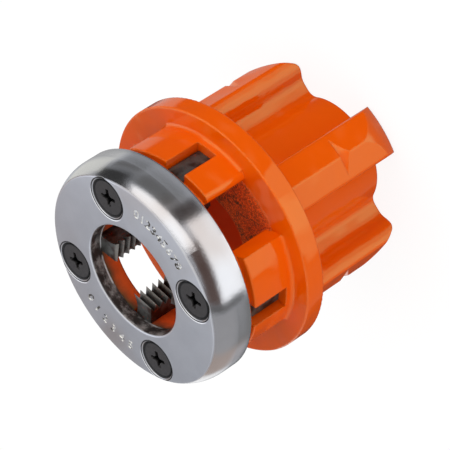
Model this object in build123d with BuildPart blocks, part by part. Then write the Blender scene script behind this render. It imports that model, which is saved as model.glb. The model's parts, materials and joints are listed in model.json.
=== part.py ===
from math import atan2, ceil, cos, degrees, hypot, pi, radians, sin, sqrt, tan
import os

from build123d import *

os.makedirs("parts", exist_ok=True)

# Pipe threading die head for half inch taper pipe thread, in millimetres.
# The head stands on its ribbed drive end at z = 0, with the cover plate on top.
# Angles run counterclockwise seen from the cover, from the ridge of the first rib.

# Depths below the cover's face, along the axis
head_length = 63.7
cover_thickness = 3.2
cover_rim_depth = 10.0
window_top_depth = 7.2
post_step_depth = 12.4
slot_floor_depth = 21.9
flange_front_depth = 23.8
flange_thickness = 5.0

# Turned sizes of the head body
guide_bore_radius = 11.0
throat_radius = 14.0
drive_tube_radius = 14.3
spigot_radius = 24.3
post_radius = 26.5
post_base_fillet = 0.9
flange_radius = 31.3
flange_edge_fillet = 0.3
small_edge_fillet = 0.35
mouth_chamfer = 0.8

# Drive ribs
rib_count = 4
rib_ridge_radius = 26.3
rib_half_width = 6.0
rib_facet_angle = 20.0
rib_shoulder_depth = 3.6
rib_neck_length = 2.8
rib_neck_half_width = 4.0
rib_hollow_share = 0.39
rib_root_fillet = 2.6
rib_edge_fillet = 1.1
rib_ridge_fillet = 0.8
rib_crown_length = 10.5
rib_end_inset = 3.7
rib_end_rounding = 2.4

# Retaining groove across the ribs
groove_depth_below_face = 47.0
groove_floor_depth = 1.3
groove_front_length = 0.5
groove_back_length = 2.4

# Chip windows between the posts
window_count = 4
window_angle = 4.4
window_low_side = 6.4
window_high_side = 5.3
window_flare_start = 21.3
window_flare_angle = 38.0
window_corner_rounding = 1.5

# Chaser dies and their slots
die_count = 4
die_angle = 40.2
die_thickness = 5.7
die_side_clearance = 0.05
die_end_clearance = 0.05
die_rim_clearance = 0.13
die_corner_chamfer = 0.5

# Chip hollow in the cutting side of each die
hollow_middle = 12.2
hollow_depth = 1.2
hollow_radius = 6.6

# Taper pipe thread on the dies
thread_pitch = 25.4 / 14
thread_height = 0.8 * thread_pitch
thread_flat = 0.04 * thread_pitch
thread_tip_radius = 8.9
thread_taper = 1 / 32
front_crest_depth = 0.95
throat_pitches = 2.5
nose_relief = 0.35
spare_teeth = 2

# Cover plate
cover_radius = 28.0
cover_face_radius = 26.2
cover_round_depth = 5.8
cover_crease_fillet = 0.5
cover_hole_radius = 13.9
cover_hole_fillet = 0.6
cover_spigot_clearance = 0.2
cover_rim_fillet = 0.5

# Countersunk cover screws
screw_count = 4
screw_angle = 63.6
screw_circle_radius = 21.0
screw_radius = 2.5
screw_length = 13.0
screw_head_radius = 4.5
screw_head_sink = 0.35
screw_head_land = 0.15
screw_head_clearance = 0.1
screw_hole_clearance = 0.25
screw_thread_clearance = 0.05
screw_tip_chamfer = 0.5
screw_hole_run_out = 1.5

# Cross recess of each screw
recess_span = 4.6
recess_wing = 1.0
recess_core_radius = 0.8
recess_depth = 2.2
recess_taper = 10.0
recess_corner_fillet = 0.25
recess_turns = (-11.9, -6.1, -7.6, -17.6)

# How far a cutting outline runs past the face that it cuts, and how near counts as the same place
overrun = 1.0
same_place = 0.01

# Heights above the ribbed end
cover_back_z = head_length - cover_thickness
cover_rim_z = head_length - cover_rim_depth
window_top_z = head_length - window_top_depth
post_step_z = head_length - post_step_depth
slot_floor_z = head_length - slot_floor_depth
flange_front_z = head_length - flange_front_depth
flange_back_z = flange_front_z - flange_thickness
groove_z = head_length - groove_depth_below_face
groove_end_z = groove_z - groove_front_length - groove_back_length

# Fits that follow from the sizes above
rib_shoulder_radius = rib_ridge_radius - rib_shoulder_depth
rib_neck_radius = drive_tube_radius + rib_neck_length
rib_end_radius = rib_ridge_radius - rib_end_inset
groove_floor_radius = rib_ridge_radius - groove_floor_depth
cover_inner_radius = spigot_radius + cover_spigot_clearance
slot_width = die_thickness + 2 * die_side_clearance
die_half = die_thickness / 2
die_height = cover_back_z - slot_floor_z - 2 * die_end_clearance
die_base_z = slot_floor_z + die_end_clearance
die_end = sqrt((cover_inner_radius - die_rim_clearance) ** 2 - die_half**2)


# Drive end's cross-section: a tube with ribs whose sides curve in from the shoulder to the neck.
# Each side is a hollow arc and a round arc, which meet on the straight line from end to end.
rib_edge = rib_ridge_radius - rib_half_width * tan(radians(rib_facet_angle))
rib_neck = (rib_neck_radius, rib_neck_half_width)
rib_shoulder = (rib_shoulder_radius, rib_half_width)
rib_waist = (
    rib_neck_radius + (rib_shoulder_radius - rib_neck_radius) * rib_hollow_share,
    rib_neck_half_width + (rib_half_width - rib_neck_half_width) * rib_hollow_share,
)

with BuildSketch() as rib_outline:
    with BuildLine():
        Polyline((0, 0), (0, rib_neck_half_width), rib_neck)
        hollow_side = TangentArc(rib_neck, rib_waist, tangent=(1, 0))
        TangentArc(rib_waist, rib_shoulder, tangent=hollow_side % 1)
        Polyline(rib_shoulder, (rib_edge, rib_half_width), (rib_ridge_radius, 0))
        mirror(about=Plane.XZ)
    make_face()


def corners_at(sketch, radius):
    return sketch.vertices().filter_by(lambda v: abs(hypot(v.X, v.Y) - radius) < same_place)


with BuildSketch() as drive_section:
    Circle(drive_tube_radius)
    with PolarLocations(0, rib_count):
        add(rib_outline.sketch)
    fillet(corners_at(drive_section, drive_tube_radius), rib_root_fillet)
    fillet(corners_at(drive_section, hypot(rib_edge, rib_half_width)), rib_edge_fillet)
    fillet(corners_at(drive_section, rib_ridge_radius), rib_ridge_fillet)


# Outline of a chip window, its middle along +X.
# The low side flares out past the large post, the high side ends in the small post's corner.
window_reach = flange_radius + overrun
flare_width = (window_reach - window_flare_start) * tan(radians(window_flare_angle))
corner_y = window_high_side + window_corner_rounding
corner_x = sqrt((post_radius - window_corner_rounding) ** 2 - corner_y**2)
corner_turn = degrees(atan2(corner_y, corner_x))


def corner_point(angle):
    return (
        corner_x + window_corner_rounding * cos(radians(angle)),
        corner_y + window_corner_rounding * sin(radians(angle)),
    )


with BuildSketch() as window_outline:
    with BuildLine():
        ThreePointArc(
            corner_point(corner_turn),
            corner_point((corner_turn - 90) / 2),
            corner_point(-90),
        )
        Polyline(
            corner_point(-90),
            (0, window_high_side),
            (0, -window_low_side),
            (window_flare_start, -window_low_side),
            (window_reach, -window_low_side - flare_width),
            (window_reach, corner_point(corner_turn)[1]),
            corner_point(corner_turn),
        )
    make_face()


# Head body: drive ribs, flange, posts and front ring in one casting
with BuildPart() as die_head_body:
    with BuildSketch(Plane.XY):
        add(drive_section.sketch)
    extrude(amount=flange_back_z + flange_thickness / 2)

    # Crowned ends of the ribs
    past_ridge = rib_ridge_radius + overrun
    within_end = rib_end_radius - 2 * rib_end_rounding
    with BuildSketch(Plane.XZ) as crown_outline:
        with BuildLine():
            TangentArc(
                (rib_ridge_radius, rib_crown_length),
                (rib_end_radius, 0),
                tangent=(0, -1),
            )
            Polyline(
                (rib_end_radius, 0),
                (within_end, 0),
                (within_end, -overrun),
                (past_ridge, -overrun),
                (past_ridge, rib_crown_length),
                (rib_ridge_radius, rib_crown_length),
            )
        make_face()
        end_corner = crown_outline.vertices().sort_by_distance((rib_end_radius, 0))[0]
        fillet(end_corner, rib_end_rounding)
    revolve(axis=Axis.Z, mode=Mode.SUBTRACT)

    # Retaining groove
    groove_rise = rib_ridge_radius - groove_floor_radius
    groove_run_out = overrun / groove_rise
    with BuildSketch(Plane.XZ):
        with BuildLine():
            Polyline(
                (groove_floor_radius, groove_z - groove_front_length),
                (past_ridge, groove_z + groove_front_length * groove_run_out),
                (past_ridge, groove_end_z - groove_back_length * groove_run_out),
                close=True,
            )
        make_face()
    revolve(axis=Axis.Z, mode=Mode.SUBTRACT)

    # Flange, posts and spigot as turned
    with BuildSketch(Plane.XZ) as turned_outline:
        with BuildLine():
            Polyline(
                (0, flange_back_z),
                (flange_radius, flange_back_z),
                (flange_radius, flange_front_z),
                (post_radius, flange_front_z),
                (post_radius, post_step_z),
                (spigot_radius, post_step_z),
                (spigot_radius, cover_back_z),
                (0, cover_back_z),
                close=True,
            )
        make_face()
        rim_corners = turned_outline.vertices().group_by(Axis.X)[-1]
        fillet(rim_corners, flange_edge_fillet)
        post_corners = turned_outline.vertices().filter_by(
            lambda v: abs(v.X - post_radius) < same_place
        )
        fillet(post_corners.sort_by(Axis.Y)[0], post_base_fillet)
        step_corner = turned_outline.vertices().sort_by_distance((post_radius, post_step_z))[0]
        fillet(step_corner, small_edge_fillet)
        top_corner = turned_outline.vertices().sort_by_distance((spigot_radius, cover_back_z))[0]
        fillet(top_corner, small_edge_fillet)
    revolve(axis=Axis.Z)

    # Throat between the dies, and the guide bore that leads the pipe in
    with Locations((0, 0, cover_back_z)):
        CounterBoreHole(
            radius=guide_bore_radius,
            counter_bore_radius=throat_radius,
            counter_bore_depth=cover_back_z - flange_front_z,
            depth=cover_back_z + overrun,
        )
    mouth = (
        die_head_body.edges()
        .filter_by(GeomType.CIRCLE)
        .filter_by(lambda e: abs(e.radius - guide_bore_radius) < same_place)
        .sort_by(Axis.Z)[0]
    )
    chamfer(mouth, mouth_chamfer)

    # Chip windows under the front ring
    with BuildSketch(Plane.XY.offset(flange_front_z)):
        with PolarLocations(0, window_count, start_angle=window_angle):
            add(window_outline.sketch)
    extrude(amount=window_top_z - flange_front_z, mode=Mode.SUBTRACT)

    # Die slots, open at the front and at the posts' outer face
    with BuildSketch(Plane.XY.offset(slot_floor_z)):
        with PolarLocations(0, die_count, start_angle=die_angle):
            Rectangle(post_radius + overrun, slot_width, align=(Align.MIN, Align.CENTER))
    extrude(amount=head_length - slot_floor_z, mode=Mode.SUBTRACT)

    # Tapped holes for the cover screws
    screw_top_z = head_length - screw_head_sink
    screw_end_z = screw_top_z - screw_length
    with Locations((0, 0, cover_back_z)):
        with PolarLocations(screw_circle_radius, screw_count, start_angle=screw_angle):
            Hole(
                radius=screw_radius + screw_thread_clearance,
                depth=cover_back_z - screw_end_z + screw_hole_run_out,
            )
die_head_body.part.label = "die_head_body"
export_step(die_head_body.part, "parts/die_head_body.step")


# Cover plate: a dished steel plate whose rim stops the dies
sink_radius = screw_head_radius + screw_head_clearance + screw_head_sink + screw_head_land

with BuildPart() as cover_plate:
    with BuildSketch(Plane.XZ) as cover_outline:
        with BuildLine():
            Polyline(
                (cover_face_radius, head_length),
                (cover_hole_radius, head_length),
                (cover_hole_radius, cover_back_z),
                (cover_inner_radius, cover_back_z),
                (cover_inner_radius, cover_rim_z),
                (cover_radius, cover_rim_z),
                (cover_radius, head_length - cover_round_depth),
            )
            TangentArc(
                (cover_radius, head_length - cover_round_depth),
                (cover_face_radius, head_length),
                tangent=(0, 1),
            )
        make_face()
        crease = cover_outline.vertices().sort_by_distance((cover_face_radius, head_length))[0]
        fillet(crease, cover_crease_fillet)
        rim_corners = cover_outline.vertices().group_by(Axis.Y)[0]
        fillet(rim_corners, cover_rim_fillet)
        hole_corner = cover_outline.vertices().sort_by_distance((cover_hole_radius, head_length))[0]
        fillet(hole_corner, cover_hole_fillet)
    revolve(axis=Axis.Z)
    with Locations((0, 0, head_length)):
        with PolarLocations(screw_circle_radius, screw_count, start_angle=screw_angle):
            CounterSinkHole(
                radius=screw_radius + screw_hole_clearance,
                counter_sink_radius=sink_radius,
                depth=cover_thickness + overrun,
                counter_sink_angle=90,
            )
cover_plate.part.label = "cover_plate"
export_step(cover_plate.part, "parts/cover_plate.step")


# Cover screws: flat heads with a cross recess, each turned as it was left
def cover_screw(index):
    angle = radians(screw_angle + index * 360 / screw_count)
    outward = (cos(angle), sin(angle), 0)
    foot = (screw_circle_radius * outward[0], screw_circle_radius * outward[1], 0)
    cone_top_z = screw_top_z - screw_head_land
    cone_end_z = cone_top_z - (screw_head_radius - screw_radius)
    with BuildPart() as screw:
        with BuildSketch(Plane(foot, x_dir=outward, z_dir=(outward[1], -outward[0], 0))):
            with BuildLine():
                Polyline(
                    (0, screw_top_z),
                    (screw_head_radius, screw_top_z),
                    (screw_head_radius, cone_top_z),
                    (screw_radius, cone_end_z),
                    (screw_radius, screw_end_z + screw_tip_chamfer),
                    (screw_radius - screw_tip_chamfer, screw_end_z),
                    (0, screw_end_z),
                    close=True,
                )
            make_face()
        revolve(axis=Axis(foot, (0, 0, 1)))

        # Recess, narrowing downwards
        turn = angle + radians(recess_turns[index])
        top = (foot[0], foot[1], screw_top_z)
        with BuildSketch(Plane(top, x_dir=(cos(turn), sin(turn), 0), z_dir=(0, 0, -1))) as cross:
            Rectangle(recess_span, recess_wing)
            Rectangle(recess_wing, recess_span)
            inner_corners = cross.vertices().filter_by(
                lambda v: hypot(v.X, v.Y) < recess_wing
            )
            fillet(inner_corners, recess_core_radius)
            fillet(cross.vertices().filter_by(
                lambda v: hypot(v.X, v.Y) > recess_span / 2
            ), recess_corner_fillet)
        extrude(amount=recess_depth, taper=recess_taper, mode=Mode.SUBTRACT)
    return screw.part


for index in range(screw_count):
    screw_part = cover_screw(index)
    screw_part.label = f"cover_screw_{index + 1}"
    export_step(screw_part, f"parts/{screw_part.label}.step")


# Chaser dies: steel blocks with thread teeth cut into the nose.
# The teeth climb a quarter of a pitch from each die to the next, as one thread.
tip_at_front = sqrt(thread_tip_radius**2 - die_half**2)
block_start = tip_at_front - thread_height
nose_inside = block_start - overrun
lead_slope = thread_pitch / (2 * pi * thread_tip_radius)
relief_slope = nose_relief / die_thickness
tooth_count = ceil(die_height / thread_pitch) + spare_teeth


def tip_line(height):
    return tip_at_front + thread_taper * (die_height - height)


def teeth_outline(climb):
    front_crest = die_height - front_crest_depth + climb
    points = []
    for tooth in range(-tooth_count, spare_teeth + 1):
        middle = front_crest + tooth * thread_pitch
        gap = middle + thread_pitch / 2
        tip = tip_line(middle)
        root = tip_line(gap) + thread_height
        points.append((tip, middle - thread_flat / 2))
        points.append((tip, middle + thread_flat / 2))
        points.append((root, gap - thread_flat / 2))
        points.append((root, gap + thread_flat / 2))
    return [(nose_inside, points[0][1]), *points, (nose_inside, points[-1][1])]


def throat_outline():
    length = throat_pitches * thread_pitch
    slope = (tip_line(0) + thread_height - tip_line(length)) / length
    return [
        (nose_inside, -overrun),
        (tip_line(length) + slope * (length + overrun), -overrun),
        (tip_line(length), length),
        (nose_inside, length),
    ]


def chaser_die(index):
    angle = radians(die_angle + index * 360 / die_count)
    outward = Vector(cos(angle), sin(angle), 0)
    across = Vector(-sin(angle), cos(angle), 0)
    base = Vector(0, 0, die_base_z)
    with BuildPart() as die:
        with BuildSketch(Plane(base, x_dir=outward, z_dir=(0, 0, 1))) as block:
            with Locations(((block_start + die_end) / 2, 0)):
                Rectangle(die_end - block_start, die_thickness)
            chamfer(corners_at(block, hypot(die_end, die_half)), die_corner_chamfer)
            with Locations((hollow_middle, hollow_depth - die_half - hollow_radius)):
                Circle(hollow_radius, mode=Mode.SUBTRACT)
        extrude(amount=die_height)

        # Teeth, relieved behind the cutting side and climbing with the thread
        shear = across + outward * relief_slope + Vector(0, 0, lead_slope)
        start = base - across * die_half - shear * overrun
        with BuildSketch(Plane(start, x_dir=outward, z_dir=across * -1)):
            for outline in (teeth_outline(index * thread_pitch / die_count), throat_outline()):
                with BuildLine():
                    Polyline(*outline, close=True)
                make_face()
        extrude(
            amount=shear.length * (die_thickness + 2 * overrun),
            dir=shear,
            mode=Mode.SUBTRACT,
        )
    return die.part


for index in range(die_count):
    die_part = chaser_die(index)
    die_part.label = f"die_{index + 1}"
    export_step(die_part, f"parts/{die_part.label}.step")
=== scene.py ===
import json
from math import atan2, cos, degrees, hypot, pi, radians, sin

import bmesh
import bpy
from mathutils import Matrix, Vector
from mathutils.bvhtree import BVHTree
from mathutils.interpolate import poly_3d_calc


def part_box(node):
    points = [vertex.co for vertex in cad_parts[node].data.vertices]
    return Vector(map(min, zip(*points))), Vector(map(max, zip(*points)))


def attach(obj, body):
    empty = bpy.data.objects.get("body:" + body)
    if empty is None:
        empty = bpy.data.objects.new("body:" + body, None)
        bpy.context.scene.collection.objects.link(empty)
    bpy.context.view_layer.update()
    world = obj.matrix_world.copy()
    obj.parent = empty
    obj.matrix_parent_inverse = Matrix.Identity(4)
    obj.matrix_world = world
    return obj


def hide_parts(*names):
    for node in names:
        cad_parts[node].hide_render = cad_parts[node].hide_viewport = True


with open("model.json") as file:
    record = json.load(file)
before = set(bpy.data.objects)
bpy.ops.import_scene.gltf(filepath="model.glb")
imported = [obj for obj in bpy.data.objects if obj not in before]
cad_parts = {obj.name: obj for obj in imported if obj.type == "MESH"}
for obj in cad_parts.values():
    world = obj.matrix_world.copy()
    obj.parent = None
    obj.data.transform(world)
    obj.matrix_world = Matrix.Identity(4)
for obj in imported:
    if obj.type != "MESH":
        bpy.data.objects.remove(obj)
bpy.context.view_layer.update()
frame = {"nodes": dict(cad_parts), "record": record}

scene = bpy.context.scene
scene.view_settings.view_transform = "Standard"
nodes = frame["nodes"]

# The head stands on its ribbed end with the cover plate on top. Lengths are in metres.
# Azimuths go round the head's axis and are written in degrees, as elevations are.

# Places and sizes read from the CAD nodes
top_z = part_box("cover_plate")[1].z
cover_back_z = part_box("die_head_body")[1].z
screw_low, screw_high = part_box("cover_screw_1")
screw_place = (screw_low + screw_high) / 2
screw_top_z = screw_high.z
screw_head_radius = (screw_high.x - screw_low.x) / 2
screw_circle_radius = hypot(screw_place.x, screw_place.y)
screw_azimuth = degrees(atan2(screw_place.y, screw_place.x))

# Sizes of the CAD model that its boxes don't give
flange_front_depth = 0.0238
flange_front_z = top_z - flange_front_depth
throat_radius = 0.014
hole_radius = 0.0139
face_radius = 0.0262
sink_radius = 0.0052
tooth_tip_radius = 0.0089

# Wear and a painted highlight. The chip windows' floors are bare out to a radius. Each screw's
# sink has a narrow lip, with a painted highlight where it lies towards one azimuth.
bare_floor_radius = 0.0252
sink_lip = 0.0004
highlight_azimuth = 205

# Digits stamped in the cover. A row is its text, the azimuth of its middle, the degrees from one
# digit to the next, and 1 where the tops point outwards or -1 where they point inwards.
stamp_radius = 0.0212
stamp_size = 0.0034
stamp_depth = 0.00016
stamp_widening = 0.00009
stamp_rows = (
    ("012345678", 17, 5.0, 1),
    ("012345", 199, 8.0, -1),
)


# Camera at the photograph's viewing angle, rolled as the head lies there. It sees a point on the
# axis, just below the cover's face, at aim_pixel.

photo_size = 450
focal_pixels = 2453
sensor_width = 36
clip_start = 0.01
camera_azimuth = 4.4
camera_elevation = 30.75
camera_roll = -122.86
aim_pixel = (132.77, 280.49)
aim_depth = 0.0002
aim_distance = 0.5439


def direction(azimuth, elevation):
    """The unit vector that points there."""
    azimuth = radians(azimuth)
    elevation = radians(elevation)
    return Vector((
        cos(elevation) * cos(azimuth),
        cos(elevation) * sin(azimuth),
        sin(elevation),
    ))


def add_camera():
    toward = direction(camera_azimuth, camera_elevation)
    level_right = direction(camera_azimuth + 90, 0)
    level_up = toward.cross(level_right)
    roll = radians(camera_roll)
    right = cos(roll) * level_right + sin(roll) * level_up
    up = toward.cross(right)
    metres_per_pixel = aim_distance / focal_pixels
    place = (
        Vector((0, 0, top_z - aim_depth))
        + aim_distance * toward
        - (aim_pixel[0] - photo_size / 2) * metres_per_pixel * right
        + (aim_pixel[1] - photo_size / 2) * metres_per_pixel * up
    )
    data = bpy.data.cameras.new("camera")
    data.sensor_width = sensor_width
    data.lens = focal_pixels * sensor_width / photo_size
    data.clip_start = clip_start
    camera = bpy.data.objects.new("camera", data)
    turn = Matrix((right, up, toward)).transposed()
    camera.matrix_world = Matrix.Translation(place) @ turn.to_4x4()
    scene.collection.objects.link(camera)
    scene.camera = camera


# Helpers for node trees

# A Mix node has sockets for each kind of value. These are the places of its colour sockets.
mix_colours_in = (6, 7)
mix_colour_out = 2


def add(tree, kind, inputs=None, **settings):
    """A new node. An input is a number, a tuple or the output of another node."""
    node = tree.nodes.new(kind)
    for name, value in settings.items():
        setattr(node, name, value)
    for name, value in (inputs or {}).items():
        if isinstance(value, bpy.types.NodeSocket):
            tree.links.new(value, node.inputs[name])
        else:
            node.inputs[name].default_value = value
    return node


def calculate(tree, operation, *values):
    node = add(tree, "ShaderNodeMath", dict(enumerate(values)), operation=operation)
    return node.outputs["Value"]


def total(tree, first, *others):
    for other in others:
        first = calculate(tree, "ADD", first, other)
    return first


def product(tree, first, *others):
    for other in others:
        first = calculate(tree, "MULTIPLY", first, other)
    return first


def vector(tree, operation, *values, output="Vector"):
    node = add(tree, "ShaderNodeVectorMath", dict(enumerate(values)), operation=operation)
    return node.outputs[output]


def ramp(tree, value, zero_at, one_at):
    """0 at zero_at and 1 at one_at, smooth between them. Either may be the larger."""
    node = add(
        tree,
        "ShaderNodeMapRange",
        {"Value": value, "From Min": zero_at, "From Max": one_at},
        interpolation_type="SMOOTHSTEP",
    )
    return node.outputs["Result"]


def band(tree, value, low, high, soft):
    """1 where value lies from low to high, and 0 from soft past them."""
    rising = ramp(tree, value, zero_at=low - soft, one_at=low)
    falling = ramp(tree, value, zero_at=high + soft, one_at=high)
    return product(tree, rising, falling)


def mix(tree, factor, first, second):
    """The first colour where factor is 0, the second where it is 1."""
    node = add(tree, "ShaderNodeMix", {0: factor}, data_type="RGBA")
    for index, colour in zip(mix_colours_in, (first, second)):
        if isinstance(colour, bpy.types.NodeSocket):
            tree.links.new(colour, node.inputs[index])
        else:
            node.inputs[index].default_value = (*colour, 1)
    return node.outputs[mix_colour_out]


def noise(tree, place, scale, detail=2.0, roughness=0.5):
    node = add(
        tree,
        "ShaderNodeTexNoise",
        {"Vector": place, "Scale": scale, "Detail": detail, "Roughness": roughness},
    )
    return node.outputs["Fac"]


def scaled(tree, place, factors):
    node = add(tree, "ShaderNodeMapping", {"Vector": place, "Scale": factors})
    return node.outputs["Vector"]


def position(tree):
    """The point in the head's frame, its distance from the axis and its height."""
    place = add(tree, "ShaderNodeTexCoord").outputs["Object"]
    parts = add(tree, "ShaderNodeSeparateXYZ", {0: place}).outputs
    squares = total(
        tree,
        product(tree, parts["X"], parts["X"]),
        product(tree, parts["Y"], parts["Y"]),
    )
    return place, calculate(tree, "SQRT", squares), parts["Z"]


def from_screw(tree, place):
    """Distance from the axis of the nearest cover screw, and how far it lies towards the side that
    gets the painted highlight.
    """
    # After this turn each screw lies on the diagonal of its own quarter
    turn = 45 - screw_azimuth
    turned = add(
        tree,
        "ShaderNodeVectorRotate",
        {"Vector": place, "Angle": radians(turn)},
        rotation_type="Z_AXIS",
    ).outputs["Vector"]
    along = screw_circle_radius * sin(radians(45))
    quarter = vector(tree, "SIGN", turned)
    nearest = vector(tree, "MULTIPLY", quarter, (along, along, 0))
    flat = vector(tree, "MULTIPLY", turned, (1, 1, 0))
    offset = vector(tree, "SUBTRACT", flat, nearest)
    # The side of each sink that gets the painted highlight
    highlight_way = direction(highlight_azimuth + turn, 0)
    gap = vector(tree, "LENGTH", offset, output="Value")
    side = vector(tree, "DOT_PRODUCT", offset, highlight_way, output="Value")
    return gap, side


def new_material(name):
    material = bpy.data.materials.new(name)
    material.use_nodes = True
    tree = material.node_tree
    shader = tree.nodes["Principled BSDF"]
    return material, tree, shader


def set_surface(tree, shader, colour, roughness, relief, depth, edge):
    """Joins them to the shader. Where relief is 1 the surface looks depth higher, and corners
    look rounded over by edge."""
    bevel = add(tree, "ShaderNodeBevel", {"Radius": edge}, samples=4)
    bump = add(
        tree,
        "ShaderNodeBump",
        {"Height": relief, "Distance": depth, "Normal": bevel.outputs["Normal"]},
    )
    tree.links.new(colour, shader.inputs["Base Color"])
    tree.links.new(roughness, shader.inputs["Roughness"])
    tree.links.new(bump.outputs["Normal"], shader.inputs["Normal"])


# Orange enamel on the casting

def enamel():
    fresh_paint = (0.87, 0.104, 0.0)
    deeper_paint = (0.83, 0.092, 0.0)
    dark_rust = (0.46, 0.030, 0.003)
    bright_rust = (0.98, 0.110, 0.008)
    pit_brown = (0.035, 0.012, 0.008)
    # Oil with painted shade just under the cover, and redder paint deeper in the throat
    oil_and_shade = (0.08, 0.034, 0.022)
    throat_red = (0.90, 0.090, 0.012)
    gloss_level = 0.9
    gloss_tint = (0.15, 1.0, 0.40, 1)
    material, tree, shader = new_material("orange_enamel")
    place, radius, height = position(tree)

    drift = noise(tree, place, scale=55, detail=3)
    paint = mix(tree, drift, fresh_paint, deeper_paint)

    # Bare, rusty floor of the chip windows, fading into paint outwards
    floor_level = band(
        tree,
        height,
        low=flange_front_z - 0.0003,
        high=flange_front_z + 0.0003,
        soft=0.0002,
    )
    grain = noise(tree, place, scale=1300, detail=4, roughness=0.75)
    inwards = ramp(tree, radius, zero_at=bare_floor_radius, one_at=bare_floor_radius - 0.0035)
    ragged = total(tree, inwards, product(tree, grain, 0.7))
    bare = product(tree, floor_level, ramp(tree, ragged, zero_at=0.55, one_at=0.95))
    blotches = noise(tree, place, scale=280)
    pits = noise(tree, place, scale=1500, detail=3, roughness=0.6)
    stains = product(
        tree,
        ramp(tree, blotches, zero_at=0.60, one_at=0.36),
        ramp(tree, pits, zero_at=0.55, one_at=0.40),
        0.85,
    )
    grit = noise(tree, place, scale=2600, detail=2, roughness=0.6)
    rust = mix(tree, ramp(tree, grit, zero_at=0.36, one_at=0.64), dark_rust, bright_rust)
    rusty_floor = mix(tree, stains, rust, pit_brown)

    # Redder and oily in the bore and the throat, and darkest just under the cover, where painted
    # shade is added to the oil
    inside = ramp(tree, radius, zero_at=throat_radius + 0.00015, one_at=throat_radius + 0.00005)
    below_cover = calculate(tree, "SUBTRACT", cover_back_z, height)
    uneven = product(tree, noise(tree, place, scale=250, detail=3), 0.003)
    away_from_cover = ramp(tree, total(tree, below_cover, uneven), zero_at=0.0008, one_at=0.0050)
    darkened = mix(tree, away_from_cover, oil_and_shade, throat_red)
    colour = mix(tree, bare, mix(tree, inside, paint, darkened), rusty_floor)

    glossy = total(tree, 0.07, product(tree, drift, 0.06))
    dull = calculate(tree, "MAXIMUM", product(tree, bare, 1.5), inside)
    roughness = total(tree, glossy, product(tree, dull, 0.45))

    orange_peel = product(tree, noise(tree, place, scale=420), 0.10)
    cast_waves = product(tree, noise(tree, place, scale=60), 12.0)
    pitting = product(tree, bare, grain, 2.5)
    relief = total(tree, orange_peel, cast_waves, pitting)
    set_surface(tree, shader, colour, roughness, relief, depth=0.00012, edge=0.0005)
    shader.inputs["Specular IOR Level"].default_value = gloss_level
    shader.inputs["Specular Tint"].default_value = gloss_tint
    return material


# Satin steel of the cover plate

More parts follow.
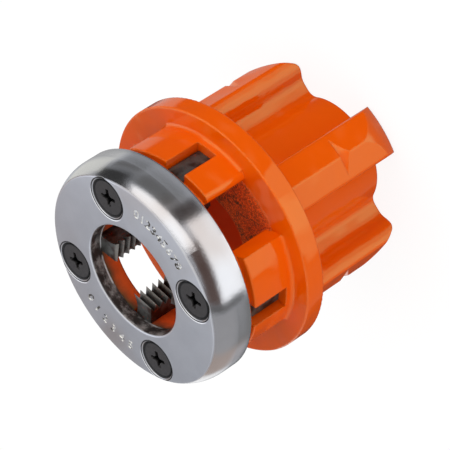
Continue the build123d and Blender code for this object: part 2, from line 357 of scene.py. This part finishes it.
def cover_steel():
    dark_steel = (0.58, 0.58, 0.60)
    pale_steel = (0.68, 0.68, 0.70)
    warm_steel = (0.52, 0.47, 0.45)
    thick_grime = (0.030, 0.024, 0.022)
    thin_grime = (0.30, 0.28, 0.27)
    worn_steel = (0.70, 0.70, 0.70)
    # Colours of the sinks' painted highlight, painted shadow line and painted shade
    highlight_steel = (0.97, 0.96, 0.94)
    shadow_black = (0.03, 0.028, 0.026)
    shade_black = (0.015, 0.014, 0.014)
    # A digit's dark floor and the colour of its painted glints
    dark_digit = (0.16, 0.15, 0.13)
    glint_colour = (0.98, 0.97, 0.93)
    dome_start_radius = 0.012
    material, tree, shader = new_material("satin_steel")
    place, radius, height = position(tree)

    mottle = noise(tree, place, scale=160, detail=5, roughness=0.65)
    cloud = noise(tree, place, scale=45)
    steel = mix(tree, mottle, dark_steel, pale_steel)
    steel = mix(tree, ramp(tree, cloud, zero_at=0.5, one_at=0.75), steel, warm_steel)

    # Oily wall of the hole, worn bright in patches along its rear edge
    at_hole = ramp(tree, radius, zero_at=hole_radius + 0.0006, one_at=hole_radius + 0.0002)
    below_edge = ramp(tree, height, zero_at=top_z - 0.0001, one_at=top_z - 0.0003)
    wall = product(tree, at_hole, below_edge)
    streaks = noise(tree, scaled(tree, place, (1, 1, 1.6)), scale=260, detail=5, roughness=0.7)
    grime = mix(tree, ramp(tree, streaks, zero_at=0.44, one_at=0.70), thick_grime, thin_grime)
    rear_edge = band(
        tree,
        height,
        low=cover_back_z + 0.0001,
        high=cover_back_z + 0.0003,
        soft=0.0002,
    )
    patches = ramp(tree, noise(tree, place, scale=140), zero_at=0.50, one_at=0.60)
    grime = mix(tree, product(tree, rear_edge, patches), grime, worn_steel)
    colour = mix(tree, wall, steel, grime)

    # Black painted shade in the screws' sinks, a painted shadow line along their edges, and a
    # painted highlight on their lip on one side
    screw_gap, screw_side = from_screw(tree, place)
    near_screw = ramp(tree, screw_gap, zero_at=sink_radius + 0.0003, one_at=sink_radius)
    sunk = ramp(tree, height, zero_at=top_z - 0.00016, one_at=top_z - 0.00026)
    sink_shade = product(tree, near_screw, sunk)
    painted_shadow_line = band(
        tree,
        screw_gap,
        low=sink_radius - 0.0001,
        high=sink_radius + 0.0001,
        soft=0.00008,
    )
    lip = band(
        tree,
        screw_gap,
        low=sink_radius + 0.00005,
        high=sink_radius + sink_lip,
        soft=0.0001,
    )
    painted_highlight = product(tree, lip, ramp(tree, screw_side, zero_at=0.0014, one_at=0.0040))
    colour = mix(tree, painted_highlight, colour, highlight_steel)
    colour = mix(tree, painted_shadow_line, colour, shadow_black)
    colour = mix(tree, sink_shade, colour, shade_black)

    # The digits' floors lie just below the face. They are dark, with painted glints in places.
    on_ring = band(
        tree,
        radius,
        low=hole_radius + 0.0012,
        high=face_radius - 0.0012,
        soft=0.0003,
    )
    off_screws = calculate(tree, "SUBTRACT", on_ring, near_screw)
    below_face = ramp(tree, height, zero_at=top_z - 0.00002, one_at=top_z - 0.00008)
    in_digits = product(tree, calculate(tree, "MAXIMUM", off_screws, 0.0), below_face)
    painted_glints = ramp(tree, noise(tree, place, scale=620, detail=1), zero_at=0.44, one_at=0.50)
    colour = mix(tree, in_digits, colour, mix(tree, painted_glints, dark_digit, glint_colour))

    # The hole's grimy wall and the sinks' painted shade are less metallic and rougher
    grime_and_sink_shade = calculate(tree, "MAXIMUM", product(tree, wall, 0.75), sink_shade)
    metallic = calculate(tree, "SUBTRACT", 1.0, grime_and_sink_shade)
    tree.links.new(metallic, shader.inputs["Metallic"])
    on_face = ramp(tree, height, zero_at=top_z - 0.0005, one_at=top_z - 0.0001)
    satin = total(tree, 0.12, product(tree, on_face, 0.20))
    roughness = total(tree, satin, product(tree, grime_and_sink_shade, 0.3), product(tree, mottle, 0.06))

    # The face is slightly domed, the rim's wall leans in towards it, and each sink slopes down to
    # its screw on the side with the painted highlight
    fine_grain = product(tree, noise(tree, place, scale=1400, detail=3, roughness=0.6), 0.25)
    low_waves = product(tree, cloud, 0.9)
    outwards = add(
        tree,
        "ShaderNodeMapRange",
        {"Value": radius, "From Min": dome_start_radius, "From Max": face_radius},
    ).outputs["Result"]
    dome = product(tree, outwards, outwards, -13.0)
    up_the_wall = ramp(tree, height, zero_at=top_z - 0.0105, one_at=top_z - 0.0028)
    lean = product(tree, up_the_wall, -16.0)
    at_sink = ramp(tree, screw_gap, zero_at=sink_radius + sink_lip, one_at=sink_radius - 0.0001)
    on_highlight_side = ramp(tree, screw_side, zero_at=0.0, one_at=0.0030)
    sink_slope = product(tree, at_sink, on_highlight_side, -3.0)
    texture = total(tree, fine_grain, low_waves)
    relief = total(tree, texture, total(tree, dome, lean, sink_slope))
    set_surface(tree, shader, colour, roughness, relief, depth=0.00004, edge=0.00012)
    return material


# Blackened steel of the cover screws, with painted shade in the recess and round the head

def black_screw():
    dull_black = (0.020, 0.019, 0.020)
    dusty_black = (0.075, 0.068, 0.066)
    painted_shade_black = (0.004, 0.004, 0.004)
    material, tree, shader = new_material("blackened_steel")
    place, _, height = position(tree)
    speck = noise(tree, place, scale=900, detail=4, roughness=0.7)
    black = mix(tree, speck, dull_black, dusty_black)
    # Painted shade in the cross recess and along the head's edge
    recess = ramp(tree, height, zero_at=screw_top_z - 0.00006, one_at=screw_top_z - 0.0006)
    screw_gap, _ = from_screw(tree, place)
    rim = ramp(
        tree,
        screw_gap,
        zero_at=screw_head_radius - 0.0004,
        one_at=screw_head_radius - 0.0002,
    )
    colour = mix(tree, calculate(tree, "MAXIMUM", recess, rim), black, painted_shade_black)
    roughness = total(tree, 0.30, product(tree, speck, 0.25))
    set_surface(tree, shader, colour, roughness, speck, depth=0.00005, edge=0.00018)
    shader.inputs["Metallic"].default_value = 0.55
    return material


# Oiled tool steel of the dies, with specks of paint and bare tips on the teeth

def die_steel():
    dark_steel = (0.075, 0.078, 0.075)
    pale_steel = (0.20, 0.20, 0.19)
    oil_brown = (0.055, 0.030, 0.022)
    paint_red = (0.50, 0.06, 0.02)
    bare_steel = (0.30, 0.28, 0.25)
    material, tree, shader = new_material("oiled_tool_steel")
    place, radius, _ = position(tree)
    speck = noise(tree, place, scale=1100, detail=4, roughness=0.7)
    stain = noise(tree, place, scale=260, detail=3)
    spatter = noise(tree, place, scale=1500, detail=1)
    steel = mix(tree, speck, dark_steel, pale_steel)
    darkened = mix(tree, ramp(tree, stain, zero_at=0.42, one_at=0.62), steel, oil_brown)
    painted = product(tree, ramp(tree, spatter, zero_at=0.70, one_at=0.74), 0.6)
    tips = ramp(tree, radius, zero_at=tooth_tip_radius + 0.0010, one_at=tooth_tip_radius)
    colour = mix(tree, painted, darkened, paint_red)
    colour = mix(tree, product(tree, tips, 0.7), colour, bare_steel)
    roughness = total(tree, 0.26, product(tree, speck, 0.25))
    set_surface(tree, shader, colour, roughness, speck, depth=0.00006, edge=0.00015)
    shader.inputs["Metallic"].default_value = 0.8
    return material


# The cover plate with stamped digits, which stands for the plain CAD plate

def digit_mesh(digit, azimuth, tops):
    """A closed digit that reaches stamp_depth above and below the cover's face."""
    curve = bpy.data.curves.new("digit", "FONT")
    curve.body = digit
    curve.size = stamp_size
    curve.align_x = "CENTER"
    curve.align_y = "CENTER"
    curve.resolution_u = 3
    curve.offset = stamp_widening
    curve.extrude = stamp_depth
    glyph = bpy.data.objects.new("digit", curve)
    scene.collection.objects.link(glyph)
    bpy.context.view_layer.update()
    mesh = bpy.data.meshes.new_from_object(glyph)
    bpy.data.objects.remove(glyph)
    bpy.data.curves.remove(curve)
    angle = radians(azimuth)
    centre = Vector((stamp_radius * cos(angle), stamp_radius * sin(angle), top_z))
    turn = Matrix.Rotation(angle - tops * pi / 2, 4, "Z")
    mesh.transform(Matrix.Translation(centre) @ turn)
    return mesh


def digit_cutter():
    """All the digits in one mesh."""
    cutter = bmesh.new()
    for text, middle, spacing, tops in stamp_rows:
        for place, digit in enumerate(text):
            step = (place - (len(text) - 1) / 2) * spacing
            mesh = digit_mesh(digit, middle - tops * step, tops)
            cutter.from_mesh(mesh)
            bpy.data.meshes.remove(mesh)
    bmesh.ops.remove_doubles(cutter, verts=cutter.verts, dist=1e-7)
    mesh = bpy.data.meshes.new("digits")
    cutter.to_mesh(mesh)
    cutter.free()
    return bpy.data.objects.new("digits", mesh)


def keep_normals(mesh, original):
    """The CAD plate's own normals where it is uncut, flat ones on its face and in the digits."""
    face_normal_z = 0.9999
    same_surface_gap = 2e-5
    same_surface_cosine = 0.95
    share_to_centre = 0.02
    original.calc_loop_triangles()
    points = [v.co for v in original.vertices]
    triangles = [tuple(t.vertices) for t in original.loop_triangles]
    corners = [tuple(t.loops) for t in original.loop_triangles]
    surface = BVHTree.FromPolygons(points, triangles)
    normals = []
    for polygon in mesh.polygons:
        for corner in polygon.loop_indices:
            at = mesh.vertices[mesh.loops[corner].vertex_index].co
            inside = at.lerp(polygon.center, share_to_centre)
            _, facing, index, gap = surface.find_nearest(inside)
            normal = polygon.normal.copy()
            uncut = gap < same_surface_gap and facing.dot(normal) > same_surface_cosine
            if uncut and normal.z < face_normal_z:
                weights = poly_3d_calc([points[v] for v in triangles[index]], at)
                shares = [
                    weight * original.corner_normals[c].vector
                    for weight, c in zip(weights, corners[index])
                ]
                normal = sum(shares, Vector())
            normals.append(normal.normalized())
    mesh.normals_split_custom_set(normals)


def stamped_cover(material):
    plain = nodes["cover_plate"]
    cutter = digit_cutter()
    scene.collection.objects.link(cutter)
    cover = bpy.data.objects.new("stamped_cover", plain.data.copy())
    scene.collection.objects.link(cover)
    carve = cover.modifiers.new("carve", "BOOLEAN")
    carve.operation = "DIFFERENCE"
    carve.solver = "EXACT"
    carve.object = cutter
    # A widened digit can overlap itself, and would be left out without this
    carve.use_self = True
    bpy.context.view_layer.update()
    carved = cover.evaluated_get(bpy.context.evaluated_depsgraph_get())
    mesh = bpy.data.meshes.new_from_object(carved)
    cover.modifiers.clear()
    cover.data = mesh
    bpy.data.objects.remove(cutter)
    # Takes out the few slivers that the cut leaves doubled
    mesh.validate()
    keep_normals(mesh, plain.data)
    mesh.materials.clear()
    mesh.materials.append(material)
    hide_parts("cover_plate")
    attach(cover, "head")


# Floor, surroundings and lamps

def add_floor():
    """A plain floor, white to the camera. Its glow lights the head evenly from below."""
    half = 2.0
    diffuse_colour = (0.16, 0.16, 0.16, 1)
    white = (1, 1, 1, 1)
    glow = 0.40
    extra_glow_where_seen = 0.48
    mesh = bpy.data.meshes.new("floor")
    corners = [(-half, -half, 0), (half, -half, 0), (half, half, 0), (-half, half, 0)]
    mesh.from_pydata(corners, [], [(0, 1, 2, 3)])
    floor = bpy.data.objects.new("floor", mesh)
    floor.visible_glossy = False
    scene.collection.objects.link(floor)

    material = bpy.data.materials.new("pale_floor")
    material.use_nodes = True
    tree = material.node_tree
    tree.nodes.clear()
    output = tree.nodes.new("ShaderNodeOutputMaterial")
    path = add(tree, "ShaderNodeLightPath").outputs
    mirrored = calculate(tree, "MAXIMUM", path["Is Glossy Ray"], path["Is Transmission Ray"])
    seen = calculate(tree, "MAXIMUM", path["Is Camera Ray"], mirrored)
    strength = total(tree, glow, product(tree, seen, extra_glow_where_seen))
    diffuse = add(tree, "ShaderNodeBsdfDiffuse", {"Color": diffuse_colour})
    lift = add(tree, "ShaderNodeEmission", {"Color": white, "Strength": strength})
    both = add(tree, "ShaderNodeAddShader", {0: diffuse.outputs[0], 1: lift.outputs[0]})
    tree.links.new(both.outputs[0], output.inputs["Surface"])
    mesh.materials.append(material)


def grey(level):
    return (level, level, level)


# What the surfaces reflect: ambient, with panels in front of it. A panel is its azimuths, its
# elevations, how far its soft edge reaches to either side, and its colour. Later ones lie in front.
soft_light = grey(0.63)
ambient = (0.58, 0.60, 0.64)
panels = (
    # Below the head, seen in the ribs, the posts and the flange's edge
    ((-180, 180), (-90, -47), 6, grey(0.25)),
    ((-180, 180), (-47, -26), 4, grey(0.05)),
    ((-64, 24), (-60, -40), 6, grey(0.95)),
    ((-61, 19), (-44, -22), 3, grey(0.95)),
    ((-38, -4), (-54, -20), 4, grey(1.60)),
    # Round the head, most of them seen in the cover's rim
    ((-57, 21), (-24, 0), 3, (1.40, 1.42, 1.44)),
    ((-57, 4), (0, 28), 3, (0.13, 0.09, 0.08)),
    ((-66, -57), (-22, 28), 3, grey(0.12)),
    ((-116, -66), (-18, 26), 4, (0.42, 0.42, 0.43)),
    ((-116, -66), (-42, -18), 6, grey(0.25)),
    ((-142, -110), (-22, 17), 6, (0.50, 0.42, 0.38)),
    ((0, 80), (7, 32), 3, grey(1.50)),
    ((21, 38), (-22, 7), 3, (0.09, 0.08, 0.08)),
    ((38, 84), (-20, 7), 8, grey(0.17)),
    ((84, 124), (-10, 24), 7, grey(0.05)),
    ((84, 116), (-22, -10), 6, grey(0.15)),
    ((120, 160), (-24, 0), 5, (0.85, 0.85, 0.80)),
    ((126, 168), (-44, -24), 6, grey(0.50)),
    ((130, 186), (2, 26), 5, (0.46, 0.38, 0.35)),
    ((176, 218), (-24, -2), 4, grey(1.10)),
    # Above the head, seen in the cover's face and its rounded edge
    ((-180, 180), (62, 90), 3, grey(0.95)),
    ((124, 183), (25, 60), 5, (1.10, 1.16, 1.30)),
    ((183, 246), (25, 60), 5, (0.44, 0.47, 0.55)),
    ((165, 246), (40, 60), 3, (1.05, 1.08, 1.14)),
    ((20, 108), (41, 60), 4, (1.60, 1.60, 1.58)),
    ((174, 207), (21, 37), 3, (0.24, 0.26, 0.30)),
)


def panel_mask(tree, azimuth, elevation, azimuths, elevations, soft):
    """1 in the directions between two azimuths and two elevations."""
    middle = (azimuths[0] + azimuths[1]) / 2
    half = (azimuths[1] - azimuths[0]) / 2
    low, high = elevations
    aside = calculate(tree, "SUBTRACT", azimuth, middle)
    off_middle = calculate(tree, "ABSOLUTE", calculate(tree, "WRAP", aside, 180.0, -180.0))
    across = ramp(tree, off_middle, zero_at=half + soft, one_at=half - soft)
    rising = ramp(tree, elevation, zero_at=low - soft, one_at=low + soft)
    falling = ramp(tree, elevation, zero_at=high + soft, one_at=high - soft)
    return product(tree, across, product(tree, rising, falling))


def add_world():
    """Even light for the lamps' shadows, studio panels in reflections, white behind."""
    world = bpy.data.worlds.new("studio")
    world.use_nodes = True
    tree = world.node_tree
    outwards = add(tree, "ShaderNodeTexCoord").outputs["Generated"]
    parts = add(tree, "ShaderNodeSeparateXYZ", {0: outwards}).outputs
    turn = calculate(tree, "ARCTAN2", parts["Y"], parts["X"])
    azimuth = calculate(tree, "DEGREES", turn)
    elevation = calculate(tree, "DEGREES", calculate(tree, "ARCSINE", parts["Z"]))
    studio = ambient
    for azimuths, elevations, soft, colour in panels:
        mask = panel_mask(tree, azimuth, elevation, azimuths, elevations, soft)
        studio = mix(tree, mask, studio, colour)
    path = add(tree, "ShaderNodeLightPath").outputs
    light = mix(tree, path["Is Glossy Ray"], soft_light, studio)
    behind = calculate(tree, "MAXIMUM", path["Is Camera Ray"], path["Is Transmission Ray"])
    background = tree.nodes["Background"]
    tree.links.new(mix(tree, behind, light, grey(1)), background.inputs["Color"])
    scene.world = world


def softbox(name, azimuth, elevation, distance, width, height, brightness):
    """An area lamp facing the head. Its power follows from how bright its face looks."""
    away = direction(azimuth, elevation)
    target = Vector((0, 0, flange_front_z))
    data = bpy.data.lights.new(name, "AREA")
    data.shape = "RECTANGLE"
    data.size = width
    data.size_y = height
    data.energy = brightness * pi * width * height
    lamp = bpy.data.objects.new(name, data)
    turn = away.to_track_quat("Z", "Y").to_matrix()
    lamp.matrix_world = Matrix.Translation(target + distance * away) @ turn.to_4x4()
    lamp.visible_camera = False
    lamp.visible_glossy = False
    scene.collection.objects.link(lamp)


# The whole scene

finishes = {
    "painted_body": enamel(),
    "cover_steel": cover_steel(),
    "black_screw": black_screw(),
    "die_steel": die_steel(),
}
for subpart in frame["record"]["subparts"]:
    node = nodes[subpart["node"]]
    node.data.materials.clear()
    node.data.materials.append(finishes[subpart["material_slot"]])

stamped_cover(finishes["cover_steel"])
add_camera()
add_floor()
add_world()
softbox(
    "side_softbox",
    azimuth=50,
    elevation=8,
    distance=0.5,
    width=0.84,
    height=0.22,
    brightness=1.75,
)
softbox(
    "overhead_softbox",
    azimuth=60,
    elevation=65,
    distance=0.7,
    width=0.6,
    height=0.6,
    brightness=1.3,
)
softbox(
    "fill_softbox",
    azimuth=-46,
    elevation=10,
    distance=0.5,
    width=0.6,
    height=0.3,
    brightness=1.75,
)
